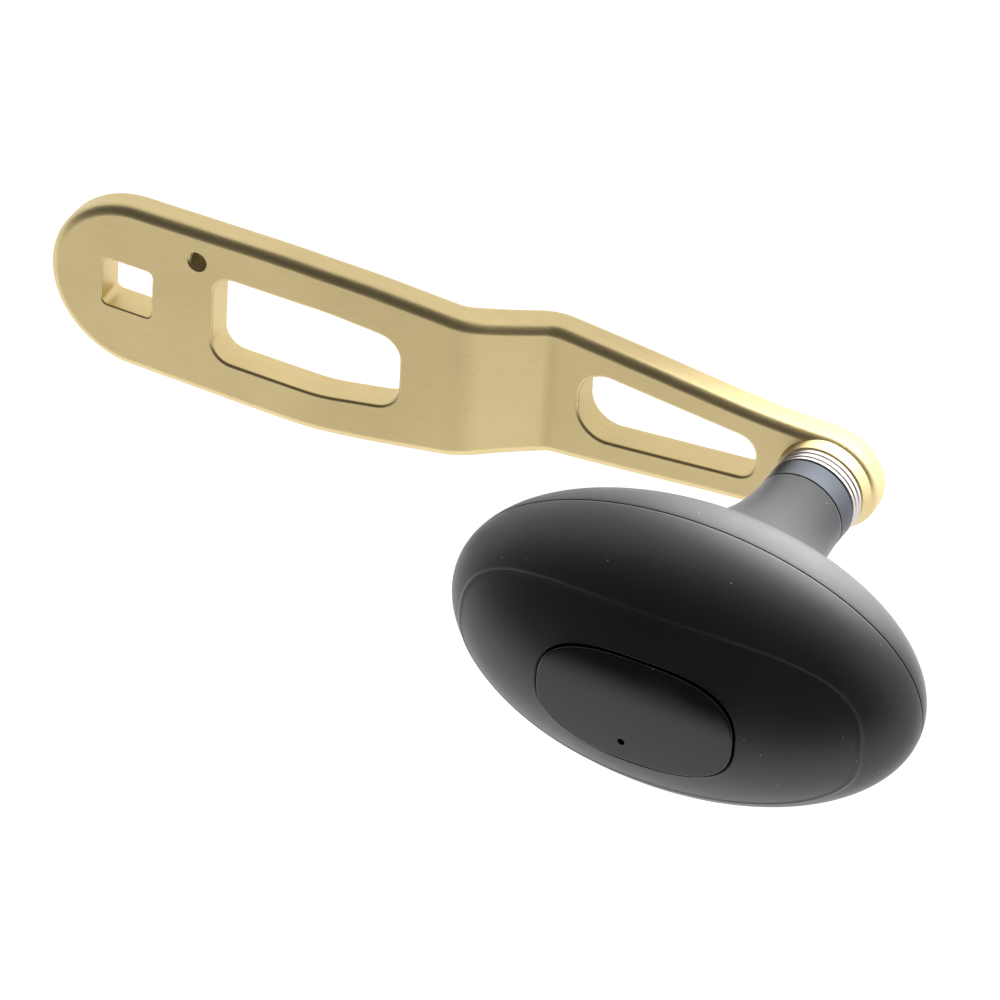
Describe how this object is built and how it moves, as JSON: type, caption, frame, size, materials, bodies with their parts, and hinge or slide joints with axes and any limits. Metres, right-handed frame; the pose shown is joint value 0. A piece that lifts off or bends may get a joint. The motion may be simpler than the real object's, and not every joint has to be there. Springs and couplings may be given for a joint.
{
  "type": "crank handle",
  "caption": "Cranked flat aluminium arm with a square drive socket and two windows, carrying an oval soft-grip knob that spins on ball bearings round a fixed axle.",
  "frame": {"origin": "centre of the square drive socket, on the hub's front face", "axes": "+Z outboard, parallel to the drive axis and the knob axle; +X from the drive socket along the arm towards the knob; +Y completes the right-handed set"},
  "size_m": [0.1419, 0.0382, 0.0597],
  "materials": {
    "gold_anodised_aluminium": "satin champagne-gold anodising, finely brushed along the arm",
    "bright_steel": "ground bright",
    "bearing_steel": "polished",
    "brass_cage": "pressed",
    "dark_turned_metal": "dark grey anodised, turned",
    "black_seal": "matte",
    "rigid_nylon_core": "moulded",
    "soft_touch_grip": "fine matte soft-touch",
    "gloss_black_cap": "high gloss"
  },
  "bodies": {
    "arm": {"crank_arm": "gold_anodised_aluminium", "knob_axle": "bright_steel", "neck_bearing_inner_race": "bearing_steel", "end_bearing_inner_race": "bearing_steel", "bearing_spacer": "dark_turned_metal", "axle_end_washer": "bright_steel", "axle_screw": "bright_steel"},
    "thrust_washers": {"thrust_washer_arm": "bright_steel", "thrust_washer_middle": "bright_steel", "thrust_washer_knob": "bright_steel"},
    "knob": {"grip_rear": "soft_touch_grip", "grip_front": "soft_touch_grip", "grip_core": "rigid_nylon_core", "neck_collar": "dark_turned_metal", "neck_seal": "black_seal", "neck_bearing_outer_race": "bearing_steel", "neck_bearing_shield": "dark_turned_metal", "end_bearing_outer_race": "bearing_steel", "end_bearing_shield": "dark_turned_metal", "bearing_circlip": "dark_turned_metal", "cap_gasket": "black_seal", "end_cap": "gloss_black_cap"},
    "neck_ball_set": {"neck_bearing_cage": "brass_cage", "neck_bearing_ball_1": "bearing_steel", "neck_bearing_ball_2": "bearing_steel", "neck_bearing_ball_3": "bearing_steel", "neck_bearing_ball_4": "bearing_steel", "neck_bearing_ball_5": "bearing_steel", "neck_bearing_ball_6": "bearing_steel", "neck_bearing_ball_7": "bearing_steel", "neck_bearing_ball_8": "bearing_steel"},
    "end_ball_set": {"end_bearing_cage": "brass_cage", "end_bearing_ball_1": "bearing_steel", "end_bearing_ball_2": "bearing_steel", "end_bearing_ball_3": "bearing_steel", "end_bearing_ball_4": "bearing_steel", "end_bearing_ball_5": "bearing_steel", "end_bearing_ball_6": "bearing_steel", "end_bearing_ball_7": "bearing_steel", "end_bearing_ball_8": "bearing_steel"}
  },
  "joints": [
    {"name": "knob_spin", "type": "hinge", "parent": "arm", "child": "knob", "pos_m": [0.0978, 0, 0], "axis": [0, 0, 1], "continuous": true},
    {"name": "thrust_washers_spin", "type": "hinge", "parent": "arm", "child": "thrust_washers", "pos_m": [0.0978, 0, 0], "axis": [0, 0, 1], "continuous": true},
    {"name": "neck_balls_orbit", "type": "hinge", "parent": "arm", "child": "neck_ball_set", "pos_m": [0.0978, 0, 0], "axis": [0, 0, 1], "continuous": true},
    {"name": "end_balls_orbit", "type": "hinge", "parent": "arm", "child": "end_ball_set", "pos_m": [0.0978, 0, 0], "axis": [0, 0, 1], "continuous": true}
  ],
  "couplings": [
    {"joint": "neck_balls_orbit", "follows": "knob_spin", "ratio": 0.55},
    {"joint": "end_balls_orbit", "follows": "knob_spin", "ratio": 0.5863}
  ]
}
